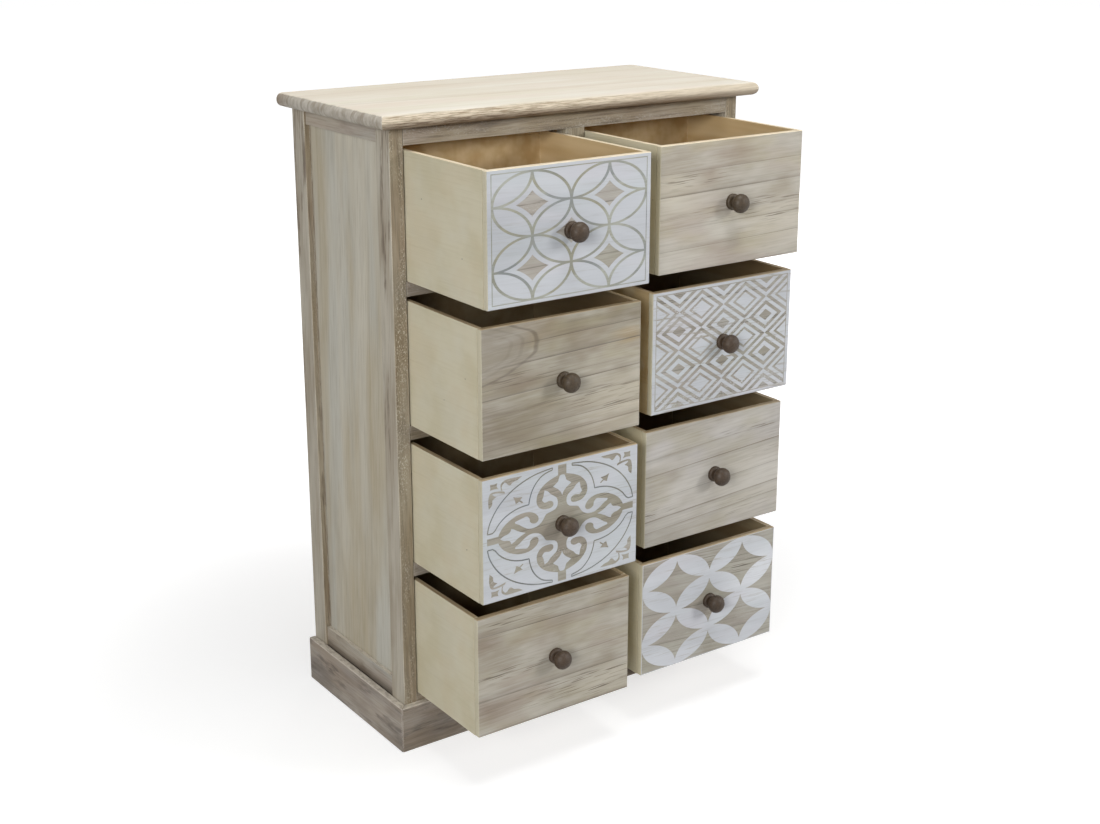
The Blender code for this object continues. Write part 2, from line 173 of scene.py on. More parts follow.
def noise(tree, place, scale, detail=2.0, roughness=0.5):
    inputs = {"Vector": place, "Scale": scale, "Detail": detail, "Roughness": roughness}
    return put(tree, "TexNoise", inputs)


def stretched(tree, place, along):
    """Coordinates in which a pattern is longer along the grain, which runs along their X."""
    return put(tree, "Mapping", {"Vector": place, "Scale": (along, 1, 1)})


def patchy(tree, place, scale, low, high, floor=0.0, top=1.0, along=None, detail=3.0, roughness=0.5):
    """Patches that go softly from floor to top where a noise goes from low to high. Along draws them
    out along the grain."""
    if along:
        place = stretched(tree, place, along)
    return between(tree, noise(tree, place, scale, detail, roughness), low, high, floor, top)


# How the grain is laid

GRAIN_TURNS = {
    "X": lambda a, b: (0, a, b),
    "Y": lambda a, b: (a, 0, b - math.pi / 2),
    "Z": lambda a, b: (0, math.pi / 2 + a, b),
}
# What coordinates along the grain are multiplied by, to draw a pattern out
LONG = 0.12
FINE = 0.03
FIBRES_SHOW = (0.42, 0.72)  # values of the fibres' noise between which they begin to show
SHEEN = 0.3
BUMP_DEPTH = 0.0004
EDGE_COSINES = (0.995, 0.86)  # of a face and the normal that is rounded over its edge: off and on it
# Lines that follow an arch: where, as a share of its size, how strong, and how wide
ARCH_LINES = ((1.0, 0.65, 0.035), (0.86, 0.22, 0.03), (0.74, 0.18, 0.03))


def grain_place(tree, axis, pith, tilt):
    """Coordinates whose X runs along the grain, with the heart of the tree at y = z = 0."""
    place = vector(tree, "SUBTRACT", spot_of(tree), pith)
    turn = GRAIN_TURNS[axis](*(math.radians(t) for t in tilt))
    return put(tree, "Mapping", {"Vector": place, "Rotation": turn})


def edge_share(tree, width):
    """1 on an edge, going to 0 a little way from it."""
    rounded_normal = put(tree, "Bevel", {"Radius": width}, samples=6)
    straight = extra(tree, "NewGeometry", "True Normal")
    return between(tree, dot(tree, rounded_normal, straight), *EDGE_COSINES)


def year_rings(tree, place, long_place, gap, wobble):
    """How far a point is through its year's growth, 0 to 1, and each year's own number."""
    radius = length(tree, vector(tree, "MULTIPLY", place, (0, 1, 1)))
    sway = minus(tree, noise(tree, long_place, 7.0, 1.5), 0.5)
    radius = plus(tree, radius, product(tree, sway, wobble))
    count = compute(tree, "DIVIDE", radius, gap)
    uneven = put(tree, "TexNoise", {"W": count, "Scale": 0.8, "Detail": 0.0}, noise_dimensions="1D")
    count = plus(tree, count, product(tree, uneven, 1.5))
    own = put(tree, "TexWhiteNoise", {"W": compute(tree, "FLOOR", count)}, noise_dimensions="1D")
    return compute(tree, "FRACT", count), own


def away_from(tree, middle, squeeze):
    """How far a point lies from a spot on a front, with what lies along the grain squeezed."""
    flat = put(tree, "Mapping", {"Vector": spot_of(tree), "Scale": (squeeze, 0, 1)})
    return length(tree, vector(tree, "SUBTRACT", flat, (squeeze * middle[0], 0, middle[1])))


def arched(tree, colour, arch, long_place, line):
    """An arch in the grain that comes in from the end of the board, with lines that follow it."""
    middle, size, tint = arch
    sway = minus(tree, noise(tree, long_place, 30.0, 2.0), 0.5)
    away = plus(tree, away_from(tree, middle, 0.3), product(tree, sway, 0.012))
    colour = blend(tree, between(tree, away, size, 0.8 * size, 0.0, 0.7), colour, tint)
    for share, strong, wide in ARCH_LINES:
        off = compute(tree, "ABSOLUTE", minus(tree, away, share * size))
        shown = between(tree, off, wide * size, 0.2 * wide * size, 0.0, strong)
        colour = blend(tree, shown, colour, line)
    return colour


def blotted(tree, colour, blot, long_place):
    """A soft spot of another tone, longer along the grain than across it."""
    middle, size, tint = blot
    ragged = product(tree, noise(tree, long_place, 60.0, 3.0), size)
    away = plus(tree, away_from(tree, middle, 0.5), ragged)
    return blend(tree, between(tree, away, 1.5 * size, 0.5 * size, 0.0, 0.8), colour, tint)


def wood(
    name, axis, pale, deep, line, pith=(0, 0.1, -0.3), tilt=(1.0, 1.6), gap=0.012, lines=0.55,
    fibre=0.22, tints=((176, 164, 156), (172, 167, 142)), tinted=0.5, brushed=0.3, cloudy=0.3,
    wash=(200, 197, 190), washed=0.25, speckled=0.0, stained=0.0, worn=0.35, rim=(214, 206, 190),
    rim_width=0.0016, wobble=0.02, arch=None, blots=(), rough=0.62, relief=0.3, made=None,
):
    """Wood with growth lines, fibres, a thin white wash and edges rubbed pale. Pith is the heart of its
    tree, tilt how the grain leans in degrees, gap how wide a year's growth is, and cloudy how far its
    patches are drawn out. Lines, fibre, tinted, brushed, washed, speckled, stained and worn say how
    strongly each shows. Made adds what only some pieces have."""
    material, tree, shader = new_material(name)
    place = grain_place(tree, axis, pith, tilt)
    long_place = stretched(tree, place, LONG)
    cloud_place = stretched(tree, place, cloudy)
    fine_place = stretched(tree, place, FINE)

    through, own = year_rings(tree, place, long_place, gap, wobble)
    late = product(tree, between(tree, through, 0.62, 0.99), between(tree, own, 0.1, 0.9, 0.15))
    late = product(tree, late, patchy(tree, long_place, 20.0, low=0.34, high=0.6, floor=0.2, detail=1.0))
    crisp = product(tree, between(tree, through, 0.92, 0.985), late)
    fibres = noise(tree, fine_place, 420.0, 3.0, 0.65)

    colour = blend(tree, patchy(tree, cloud_place, 20.0, low=0.38, high=0.64), pale, deep)
    for number, tint in enumerate(tints):
        moved = vector(tree, "ADD", cloud_place, (3 + number, 5, 7))
        share = patchy(tree, moved, 19.0, low=0.48, high=0.64, top=tinted, detail=2.0)
        colour = blend(tree, share, colour, tint)
    for blot in blots:
        colour = blotted(tree, colour, blot, long_place)
    colour = blend(tree, product(tree, own, 0.25 * lines), colour, deep)
    colour = blend(tree, product(tree, late, 0.35 * lines), colour, line)
    colour = blend(tree, product(tree, crisp, lines), colour, line)
    colour = blend(tree, product(tree, between(tree, fibres, *FIBRES_SHOW), fibre), colour, line)
    if brushed:
        dashes = patchy(tree, fine_place, 700.0, low=0.56, high=0.68, detail=1.0)
        where = patchy(tree, long_place, 26.0, low=0.50, high=0.64, detail=2.0)
        colour = blend(tree, product(tree, dashes, where, brushed), colour, line)
    if arch:
        colour = arched(tree, colour, arch, long_place, line)
    if stained:
        stains = patchy(tree, place, 48.0, low=0.50, high=0.66, along=0.2, detail=4.0, roughness=0.65)
        colour = blend(tree, product(tree, stains, stained), colour, line)

    cloud = noise(tree, stretched(tree, place, 0.3), 30.0, 3.0, 0.6)
    share = between(tree, cloud, 0.35, 0.72, 0.2 * washed, 1.4 * washed)
    share = product(tree, share, between(tree, fibres, 0.3, 0.62, 1.0, 0.5))
    colour = blend(tree, share, colour, wash)
    if speckled:
        specks = patchy(tree, place, 700.0, low=0.52, high=0.64, along=0.5, roughness=0.7)
        where = patchy(tree, long_place, 34.0, low=0.46, high=0.62, detail=2.0)
        colour = blend(tree, product(tree, specks, where, speckled), colour, wash)
    if made:
        colour = made(tree, colour, place, fibres)
    if worn:
        rubbed = patchy(tree, place, 75.0, low=0.36, high=0.62, along=0.25)
        colour = blend(tree, product(tree, edge_share(tree, rim_width), rubbed, worn), colour, rim)
    tree.links.new(colour, shader.inputs["Base Color"])

    matt = between(tree, fibres, 0.3, 0.7, rough - 0.06, rough + 0.1)
    tree.links.new(matt, shader.inputs["Roughness"])
    shader.inputs["Specular IOR Level"].default_value = SHEEN
    height = minus(tree, fibres, product(tree, crisp, 0.6))
    bump = put(tree, "Bump", {"Strength": relief, "Distance": BUMP_DEPTH, "Height": height})
    tree.links.new(bump, shader.inputs["Normal"])
    return material


def give(names, material):
    """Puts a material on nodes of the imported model."""
    for name in names:
        slots = frame["nodes"][name].data.materials
        slots.clear()
        slots.append(material)


def middle_of(node):
    low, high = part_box(node)
    return (low + high) / 2


def dress(node, axis, aside, **settings):
    """Gives a node wood of its own. Aside is where its tree's heart lies from the node's middle."""
    give([node], wood(f"{node}_wood", axis, pith=middle_of(node) + Vector(aside), **settings))


# Woods of the carcass: the tones of their pale and deep patches and of their lines

FRAME_TONES = {"pale": (158, 145, 121), "deep": (130, 115, 91), "line": (78, 64, 47)}
SIDE_TONES = {"pale": (184, 177, 162), "deep": (164, 154, 137), "line": (104, 90, 74)}
PANEL_TONES = {"pale": (200, 194, 178), "deep": (183, 175, 156), "line": (138, 126, 106)}
PLINTH_TONES = {"pale": (168, 156, 142), "deep": (124, 113, 101), "line": (80, 68, 58)}
# The front of the plinth is darker than its sides: painted shade for the shadow under the drawers
PLINTH_FRONT_SHADED_TONES = {"pale": (127, 113, 95), "deep": (92, 80, 66), "line": (60, 50, 40)}
# Painted light and dust for faces that look up, painted shade for faces that look down and, with dirt, at
# a rail's foot
UPPER_LIGHT_AND_DUST = (212, 204, 190)
UNDER_PAINTED_SHADE = (74, 62, 50)
FOOT_SHADE_AND_DIRT = (88, 75, 61)
WORN_MARKS = (102, 88, 74)
# Painted shade and dirt in the side panel's corners
CORNER_SHADE_AND_DIRT = ((96, 84, 68), (120, 104, 84))  # under the top rail, and in front of the back post


def post_sides(tree, colour, place, fibres, facing):
    """Side faces paler than the front and back, with dark worn marks."""
    patches = patchy(tree, place, 40.0, low=0.38, high=0.64, along=0.15)
    side = blend(tree, patches, SIDE_TONES["pale"], SIDE_TONES["deep"])
    side = blend(tree, between(tree, fibres, *FIBRES_SHOW, 0.0, 0.3), side, SIDE_TONES["line"])
    marks = patchy(tree, place, 70.0, low=0.55, high=0.66, along=LONG, detail=4.0, roughness=0.65)
    where = patchy(tree, place, 6.0, low=0.48, high=0.6, along=0.6, detail=1.0)
    side = blend(tree, product(tree, marks, where, 0.8), side, WORN_MARKS)
    return blend(tree, between(tree, sideways(tree, facing), 0.4, 0.8), colour, side)


def timber_shade(post=False, foot=None):
    """Painted light and pale dust on what faces up, painted shade on what faces down, and painted shade
    with dirt at its foot.
    """

    def shade(tree, colour, place, fibres):
        facing = extra(tree, "NewGeometry", "True Normal")
        if post:
            colour = post_sides(tree, colour, place, fibres, facing)
        if foot:
            # Painted shade and dirt, darker towards the top of the plinth
            stain = between(tree, part(tree, "Z", spot_of(tree)), foot + 0.013, foot + 0.002, 0.0, 0.65)
            colour = blend(tree, stain, colour, FOOT_SHADE_AND_DIRT)
        # Pale dust and painted light on faces that look up
        upward = part(tree, "Z", facing)
        broken = patchy(tree, place, 160.0, low=0.36, high=0.58, floor=0.45, along=0.5, roughness=0.7)
        share = product(tree, between(tree, upward, 0.2, 0.6), broken)
        colour = blend(tree, share, colour, UPPER_LIGHT_AND_DUST)
        # Painted shade on faces that look down
        return blend(tree, between(tree, upward, -0.2, -0.6, 0.0, 0.7), colour, UNDER_PAINTED_SHADE)

    return shade


def panel_shade(side):
    """Painted shade and dirt in the corner under the top rail and in front of the back post."""
    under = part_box(f"side_top_rail_{side}")[0].z
    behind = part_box(f"post_back_{side}")[0].y

    def shade(tree, colour, place, fibres):
        broken = patchy(
            tree, place, 120.0, low=0.35, high=0.6, floor=0.3, top=0.8, along=0.3, roughness=0.7,
        )
        # Painted shade and dirt along the panel's top edge and beside the back post
        line = between(tree, part(tree, "Z", spot_of(tree)), under - 0.0025, under - 0.001)
        colour = blend(tree, product(tree, line, broken), colour, CORNER_SHADE_AND_DIRT[0])
        line = between(tree, part(tree, "Y", spot_of(tree)), behind - 0.005, behind - 0.0005)
        return blend(tree, product(tree, line, broken), colour, CORNER_SHADE_AND_DIRT[1])

    return shade


def dress_posts():
    for end, heart, speckled, stained in (("front", 0.05, 0.9, 0.4), ("back", 0.06, 0.2, 0.8)):
        for side in COLUMNS:
            dress(
                f"post_{end}_{side}", "Z", (0.03, heart, 0), **FRAME_TONES, gap=0.006, fibre=0.35,
                tints=((160, 152, 136), (146, 128, 108)), wash=(206, 200, 184), washed=0.2,
                speckled=speckled, stained=stained, worn=0.9, rim_width=0.002,
                made=timber_shade(post=True),
            )


def dress_front():
    rails = ["front_top_rail", "front_bottom_rail", "front_rail_1", "front_rail_2", "front_rail_3"]
    for number, rail in enumerate(rails):
        dress(
            rail, "X", (0, 0.06, 0.03 * (-1) ** number), **FRAME_TONES, gap=0.005, lines=0.6, fibre=0.5,
            tints=((148, 138, 132), (150, 132, 112)), brushed=0.7, speckled=0.4, stained=0.5, worn=0.5,
        )
    settings = {**FRAME_TONES, "gap": 0.006, "fibre": 0.4, "washed": 0.4, "speckled": 0.4}
    give(["mullion"], wood("mullion_wood", "Z", pith=(0.02, 0.04, 0), **settings))


def dress_sides():
    plinth_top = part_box("plinth_front")[1].z
    for side in COLUMNS:
        for rail, stained, foot in (("side_top_rail", 0.25, None), ("side_bottom_rail", 0.8, plinth_top)):
            dress(
                f"{rail}_{side}", "Y", (0.04, 0, 0.02), **SIDE_TONES, gap=0.006, lines=0.3, fibre=0.3,
                tints=((152, 152, 148), (156, 136, 120)), stained=stained, washed=0.2, worn=0.6,
                rim_width=0.002, made=timber_shade(foot=foot),
            )
        dress(
            f"side_panel_{side}", "Z", (0.09, 0.02, 0), **PANEL_TONES, gap=0.014, lines=0.35,
            fibre=0.28, tints=((186, 186, 178), (178, 164, 134)), tinted=0.6, brushed=0.35, cloudy=0.1,
            wash=(196, 194, 184), washed=0.3, stained=0.12, worn=0, relief=0.2, made=panel_shade(side),
        )


def dress_plinth():
    for node, axis, aside, tones in (
        ("plinth_left", "Y", (0.05, 0, 0.05), PLINTH_TONES),
        ("plinth_right", "Y", (0.05, 0, 0.05), PLINTH_TONES),
        # Painted shade: the front in darker tones than the sides
        ("plinth_front", "X", (0, 0.05, 0.05), PLINTH_FRONT_SHADED_TONES),
    ):
        dress(
            node, axis, aside, **tones, gap=0.02, lines=0.3, fibre=0.2,
            tints=((128, 120, 114), (152, 136, 118)), tinted=0.6, stained=0.75, speckled=0.12, worn=0.9,
            rim=(206, 196, 186), rim_width=0.0025, made=timber_shade(),
        )


TOP_BOARDS = 4
BOARD_TINT = (222, 208, 186)
# The streaks on the nose where it looks up and where it looks down, and the wood at its ends
NOSE_UPPER = ((208, 196, 175), (150, 134, 111))
NOSE_LOWER = ((176, 162, 143), (112, 96, 80))
END_GRAIN = ((190, 184, 173), (166, 158, 145))
END_BARS = (142, 132, 117)
END_FAR = (120, 98, 76)


def streaky_nose(tree, place, spot, upward):
    """The round nose, with streaks that fade towards the right."""
    streaks = patchy(tree, place, 800.0, low=0.42, high=0.60, along=0.04, roughness=0.65)
    rightward = between(tree, part(tree, "X", spot), -0.15, 0.28, 1.0, 0.3)
    streaks = product(tree, streaks, rightward)
    upper = blend(tree, streaks, *NOSE_UPPER)
    lower = blend(tree, streaks, *NOSE_LOWER)
    return blend(tree, between(tree, upward, 0.2, -0.5), upper, lower)


def end_grain(tree, spot, back):
    """The nose at the two ends of the boards, with clouds and bars, darker at the back."""
    clouds = patchy(tree, spot, 55.0, low=0.36, high=0.62, roughness=0.6)
    across = put(tree, "Mapping", {"Vector": spot, "Scale": (0.15, 1, 0.25)})
    bars = patchy(tree, across, 130.0, low=0.44, high=0.62, top=0.7, detail=4.0, roughness=0.7)
    colour = blend(tree, bars, blend(tree, clouds, *END_GRAIN), END_BARS)
    far = between(tree, part(tree, "Y", spot), back - 0.04, back - 0.01, 0.0, 0.5)
    return blend(tree, far, colour, END_FAR)


def dress_top():
    """Boards glued side by side, pale on top and weathered on the round nose."""
    low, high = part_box("top_board")
    strip = (high.y - low.y) / TOP_BOARDS

    def boards(tree, colour, place, fibres):
        spot = spot_of(tree)
        number = compute(tree, "FLOOR", compute(tree, "DIVIDE", part(tree, "Y", spot), strip))
        shade = put(tree, "TexWhiteNoise", {"W": number}, noise_dimensions="1D")
        colour = blend(tree, between(tree, shade, 0.0, 1.0, 0.0, 0.3), colour, BOARD_TINT)
        facing = extra(tree, "NewGeometry", "Normal")
        upward = part(tree, "Z", facing)
        ending = between(tree, sideways(tree, facing), 0.2, 0.4)
        ragged = noise(tree, stretched(tree, place, LONG), 130.0, 4.0, 0.7)
        edge = plus(tree, upward, product(tree, ragged, 0.25))
        nose = between(tree, edge, between(tree, ending, 0.0, 1.0, 1.12, 1.08), 0.95)
        weathered = streaky_nose(tree, place, spot, upward)
        weathered = blend(tree, ending, weathered, end_grain(tree, spot, high.y))
        return blend(tree, nose, colour, weathered)

    dress(
        "top_board", "X", (0, 0.03, -0.10), pale=(236, 230, 216), deep=(228, 219, 201),
        line=(188, 168, 142), tilt=(0.6, 1.0), gap=0.02, lines=0.4, fibre=0.1,
        tints=((230, 216, 200), (226, 220, 198)), brushed=0.12, cloudy=0.2, wash=(241, 237, 227),
        worn=0, made=boards,
    )


BARE_TONES = {"pale": (196, 168, 124), "deep": (172, 140, 96), "line": (126, 94, 58)}
BARE_WOOD = {**BARE_TONES, "tinted": 0, "washed": 0.0, "worn": 0}


def dress_inside():
    lying = ["shelf_1", "shelf_2", "shelf_3", "bottom_board", "back_panel"]
    give(lying, wood("shelf_wood", "X", **BARE_WOOD, gap=0.01))
    upright = ["partition", "side_guide_left", "side_guide_right"]
    give(upright, wood("guide_wood", "Z", **BARE_WOOD, gap=0.01))


# Woods of the drawers

SIDE_FACE_TONES = {"pale": (205, 198, 174), "deep": (198, 190, 163), "line": (166, 152, 118)}
# Browner wood with painted shade, for a box side in the shadow of the drawer beside it
BROWN_AND_SHADED_SIDE_TONES = {"pale": (182, 160, 122), "deep": (166, 142, 104), "line": (126, 100, 66)}
# The bare wood inside a drawer and the sawn wood of its upper edge, each as two tones that mix. The
# lower drawers take darker copies of them, as painted shade for the shadow of the drawer above.
BARE_PALE = (((202, 179, 138), (181, 153, 108)), ((240, 228, 202), (214, 194, 158)))
BARE_SHADED = (((142, 126, 97), (128, 107, 76)), ((192, 172, 138), (156, 134, 100)))
PATTERNED = {
    "pale": (168, 164, 155), "deep": (146, 140, 127), "line": (88, 80, 68), "lines": 1.0,
    "tints": ((150, 140, 130), (156, 154, 136)), "worn": 0,
}
PLAIN = {"line": (98, 86, 70), "lines": 0.95, "worn": 0.5}
# How each front is cut: where the heart of its tree lies above its middle, how many degrees its grain
# rises to the right, how far apart its rings are, and its tones. A blot or an arch is the X and Z of
# its middle, its size and its tone.
FRONTS = {
    "drawer_1_left": (0.17, 2.0, 0.019, {
        **PATTERNED, "pale": (178, 173, 166), "deep": (158, 152, 142), "speckled": 0.3,
    }),
    "drawer_2_right": (0.19, -1.0, 0.017, {**PATTERNED, "speckled": 0.9, "wash": (204, 204, 204)}),
    "drawer_3_left": (0.21, 1.5, 0.016, {
        **PATTERNED, "pale": (158, 153, 140), "deep": (134, 127, 111), "speckled": 0.4,
    }),
    "drawer_4_right": (0.23, -4.0, 0.018, {
        **PATTERNED, "speckled": 0.2, "blots": (((0.24, 0.18), 0.06, (186, 182, 172)),),
    }),
    "drawer_1_right": (0.16, 1.8, 0.024, {
        **PLAIN, "pale": (193, 188, 177), "deep": (165, 156, 140), "lines": 0.75,
        "tints": ((172, 158, 150), (180, 170, 138)),
        "blots": (
            ((0.245, 0.69), 0.06, (206, 200, 188)), ((0.035, 0.745), 0.045, (200, 192, 174)),
            ((0.14, 0.792), 0.03, (156, 142, 124)), ((0.10, 0.772), 0.02, (152, 136, 118)),
        ),
    }),
    "drawer_2_left": (0.14, 2.6, 0.019, {
        **PLAIN, "pale": (178, 172, 157), "deep": (136, 126, 107), "lines": 1.2,
        "tints": ((168, 160, 124), (140, 122, 102)), "arch": ((-0.327, 0.592), 0.044, (146, 138, 124)),
        "blots": (
            ((-0.04, 0.50), 0.085, (206, 199, 182)), ((-0.245, 0.49), 0.10, (120, 109, 92)),
            ((-0.034, 0.583), 0.017, (178, 152, 104)), ((-0.20, 0.548), 0.02, (132, 118, 102)),
        ),
    }),
    "drawer_3_right": (-0.25, 3.0, 0.027, {
        **PLAIN, "pale": (193, 189, 182), "deep": (167, 160, 149),
        "tints": ((184, 180, 180), (168, 161, 139)),
        "blots": (((0.24, 0.33), 0.07, (204, 199, 190)), ((0.05, 0.275), 0.045, (144, 138, 126))),
    }),
    "drawer_4_left": (0.12, 0.3, 0.026, {
        **PLAIN, "pale": (187, 182, 170), "deep": (152, 143, 126),
        "tints": ((156, 141, 129), (162, 153, 126)),
        "blots": (
            ((-0.04, 0.10), 0.05, (196, 190, 175)), ((-0.252, 0.205), 0.026, (124, 106, 88)),
            ((-0.245, 0.115), 0.028, (126, 108, 92)),
        ),
    }),
}


def drawer_shade(middle, bare_tones, sawn_tones, front=False):
    """Bare wood inside a drawer and a pale sawn edge on top, where the outside has a finish. The
    ends of its front are finished as its sides are."""

    def shade(tree, colour, place, fibres):
        facing = extra(tree, "NewGeometry", "True Normal")
        outward = vector(tree, "SUBTRACT", spot_of(tree), middle)
        outward = dot(tree, vector(tree, "MULTIPLY", outward, facing), (1, 1, 0))
        if front:
            end = blend(tree, fibres, SIDE_FACE_TONES["pale"], SIDE_FACE_TONES["deep"])
            share = between(tree, sideways(tree, facing), 0.3, 0.9, 0.0, 0.85)
            colour = blend(tree, share, colour, end)
        clouds = patchy(tree, place, 45.0, low=0.3, high=0.7, along=0.1, detail=2.0)
        bare = blend(tree, clouds, *bare_tones)
        colour = blend(tree, between(tree, outward, 0.001, -0.001), colour, bare)
        sawn = blend(tree, between(tree, fibres, 0.35, 0.7), *sawn_tones)
        return blend(tree, between(tree, part(tree, "Z", facing), 0.4, 0.8, 0.0, 0.9), colour, sawn)

    return shade


def dress_drawers():
    for number, drawer in enumerate(DRAWERS, 2):
        row = number // 2
        middle = middle_of(drawer + "_box")
        # Rows 2 to 4 take the copies with painted shade
        bare_tones = BARE_PALE if row == 1 else BARE_SHADED
        heart, lean, gap, tones = FRONTS[drawer]
        dress(
            drawer + "_front", "X", (0, 0.05, heart), tilt=(lean, 1.2), gap=gap, fibre=0.17,
            brushed=1.0 if row == 4 else 0.75, cloudy=0.45, washed=0.3, wobble=0.012,
            made=drawer_shade(middle, *bare_tones, front=True), **tones,
        )
        # One box's sides are browner, partly as painted shade
        tones = BROWN_AND_SHADED_SIDE_TONES if drawer == "drawer_2_right" else SIDE_FACE_TONES
        dress(
            drawer + "_box", "Y", (0.12, 0, 0.02 * number), **tones, tilt=(0.3, 0.5), gap=0.03,
            lines=0.1, fibre=0.08, tints=((206, 202, 186), (200, 186, 156)), tinted=0.3, brushed=0.1,
            cloudy=0.8, washed=0.0, worn=0.4, rim=(236, 224, 196), relief=0.12,
            made=drawer_shade(middle, *bare_tones),
        )
    look = wood("drawer_bottom_wood", "X", **BARE_WOOD, gap=0.02, fibre=0.2)
    give([drawer + "_bottom" for drawer in DRAWERS], look)
    look = wood(
        "knob_wood", "Y", pale=(68, 54, 41), deep=(49, 38, 28), line=(30, 24, 18), gap=0.003, lines=0.4,
        fibre=0.5, tints=((68, 55, 45), (64, 56, 40)), wash=(96, 79, 61), washed=0.12, worn=0,
        rough=0.48,
    )
    give([drawer + "_knob" for drawer in DRAWERS], look)


def added(name, data):
    """A new object in the scene."""
    thing = bpy.data.objects.new(name, data)
    bpy.context.collection.objects.link(thing)
    return thing


def new_piece(shape, name, material):
    """Makes a piece of a finished shape."""
    bmesh.ops.recalc_face_normals(shape, faces=shape.faces)
    mesh = bpy.data.meshes.new(name)
    shape.to_mesh(mesh)
    shape.free()
    mesh.materials.append(material)
    return added(name, mesh)


# Brad heads in the left faces of some drawers: how far from the back and how far down, as shares
BRADS = {
    "drawer_1_left": ((0.40, 0.33), (0.80, 0.68)),
    "drawer_2_left": ((0.88, 0.42), (0.66, 0.66)),
    "drawer_3_left": ((0.88, 0.62), (0.30, 0.25)),
    "drawer_1_right": ((0.975, 0.42),),
}
BRAD_TONES = {"pale": (84, 74, 62), "deep": (62, 54, 46), "line": (40, 34, 28)}
BRAD_RADIUS = 0.0008
BRAD_PROUD = 0.0001
# Radius and height of the rings of a head, as shares. The last is its tip.
BRAD_RINGS = ((1.0, -0.3), (0.9, 0.5), (0.5, 0.9), (0.01, 1.0))
BRAD_SIDES = 10


def brad_head(shape, spot):
    """Adds a head to a shape, as rings that grow smaller and stand further out."""
    turns = [2 * math.pi * k / BRAD_SIDES for k in range(BRAD_SIDES)]
    rings = []
    for radius, rise in BRAD_RINGS:
        reach = radius * BRAD_RADIUS
        ring = [(-rise * BRAD_PROUD, reach * math.cos(t), reach * math.sin(t)) for t in turns]
        rings.append([shape.verts.new(spot + Vector(point)) for point in ring])
    for inner, outer in zip(rings, rings[1:]):
        for k in range(BRAD_SIDES):
            shape.faces.new((inner[k - 1], inner[k], outer[k], outer[k - 1]))
    shape.faces.new(rings[0])
    shape.faces.new(rings[-1])


def add_brads():
    iron = wood("brad_iron", "X", **BRAD_TONES, lines=0.2, worn=0, rough=0.5)
    for drawer, places in BRADS.items():
        low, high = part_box(drawer + "_box")
        shape = bmesh.new()
        for along, down in places:
            spot = (low.x, high.y + along * (low.y - high.y), high.z + down * (low.z - high.z))
            brad_head(shape, Vector(spot))
        piece = new_piece(shape, drawer + "_brads", iron)
        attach(piece, drawer)


JOIN_WITHIN = 0.01 * MM
SHARP_FROM = 35  # degrees between two faces


def rounded_shading():
    """A modifier's tree that shades round faces as round, and leaves sharp edges sharp."""
    tree = bpy.data.node_groups.new("rounded_shading", "GeometryNodeTree")
    for way in ("INPUT", "OUTPUT"):
        tree.interface.new_socket("Geometry", in_out=way, socket_type="NodeSocketGeometry")
    start = tree.nodes.new("NodeGroupInput")
    joined = tree.nodes.new("GeometryNodeMergeByDistance")
    joined.inputs["Distance"].default_value = JOIN_WITHIN
    cleared = tree.nodes.new("GeometryNodeRemoveAttribute")
    cleared.inputs["Name"].default_value = "custom_normal"
    smooth = tree.nodes.new("GeometryNodeSetShadeSmooth")
    angle = tree.nodes.new("GeometryNodeInputMeshEdgeAngle")
    steep = tree.nodes.new("FunctionNodeCompare")
    steep.operation = "GREATER_THAN"
    steep.inputs["B"].default_value = math.radians(SHARP_FROM)
    sharp = tree.nodes.new("GeometryNodeSetShadeSmooth")
    sharp.domain = "EDGE"
    sharp.inputs["Shade Smooth"].default_value = False
    end = tree.nodes.new("NodeGroupOutput")
    geometry = start.outputs[0]
    for step in (joined, cleared, smooth, sharp):
        tree.links.new(geometry, step.inputs["Geometry"])
        geometry = step.outputs["Geometry"]
    tree.links.new(angle.outputs["Unsigned Angle"], steep.inputs["A"])
    tree.links.new(steep.outputs["Result"], sharp.inputs["Selection"])
    tree.links.new(geometry, end.inputs[0])
    return tree


def shade_round_nodes():
    tree = rounded_shading()
    for node in ["top_board"] + [drawer + "_knob" for drawer in DRAWERS]:
        modifier = frame["nodes"][node].modifiers.new("rounded shading", "NODES")
        modifier.node_group = tree


# Painted patterns

PAINT_TONES = ((204, 207, 212), (192, 195, 200))
PAINT_WORN = (150, 141, 124)
PETAL_SHADE = (((-0.265, 0.74), 0.075, (168, 171, 176)),)
FILLED_SHINE = (((0.24, 0.18), 0.06, (226, 228, 232)),)


def white_paint(name, thin_share, tone_shift=0, blots=()):
    """A thin coat, with the fibres of the wood showing through."""

    def bare_streaks(tree, colour, place, fibres):
        thin = patchy(tree, place, 330.0, low=0.53, high=0.66, along=0.05, detail=4.0, roughness=0.7)
        where = patchy(tree, place, 34.0, low=0.42, high=0.62, floor=0.15, along=0.3, detail=2.0)
        return blend(tree, product(tree, thin, where, thin_share), colour, PAINT_WORN)

    pale, deep = (tuple(level + tone_shift for level in levels) for levels in PAINT_TONES)
    return wood(
        name, "X", pale=pale, deep=deep, line=(150, 148, 144), tilt=(-2.0, 1.6), gap=0.016, lines=0.2,
        fibre=0.08, tints=((202, 200, 206), (194, 200, 203)), brushed=0.2, wash=(208, 210, 214),
        washed=0.2, worn=0, blots=blots, rough=0.6, relief=0.2, made=bare_streaks,
    )


def groove_stain(name, pale, deep, tints):
    """The grey that stands in the thin lines cut through the white."""
    return wood(
        name, "X", pale=pale, deep=deep, line=(98, 98, 92), lines=0.3, tints=tints, tinted=0.8,
        cloudy=0.7, wash=(190, 192, 190), washed=0.2, worn=0,
    )


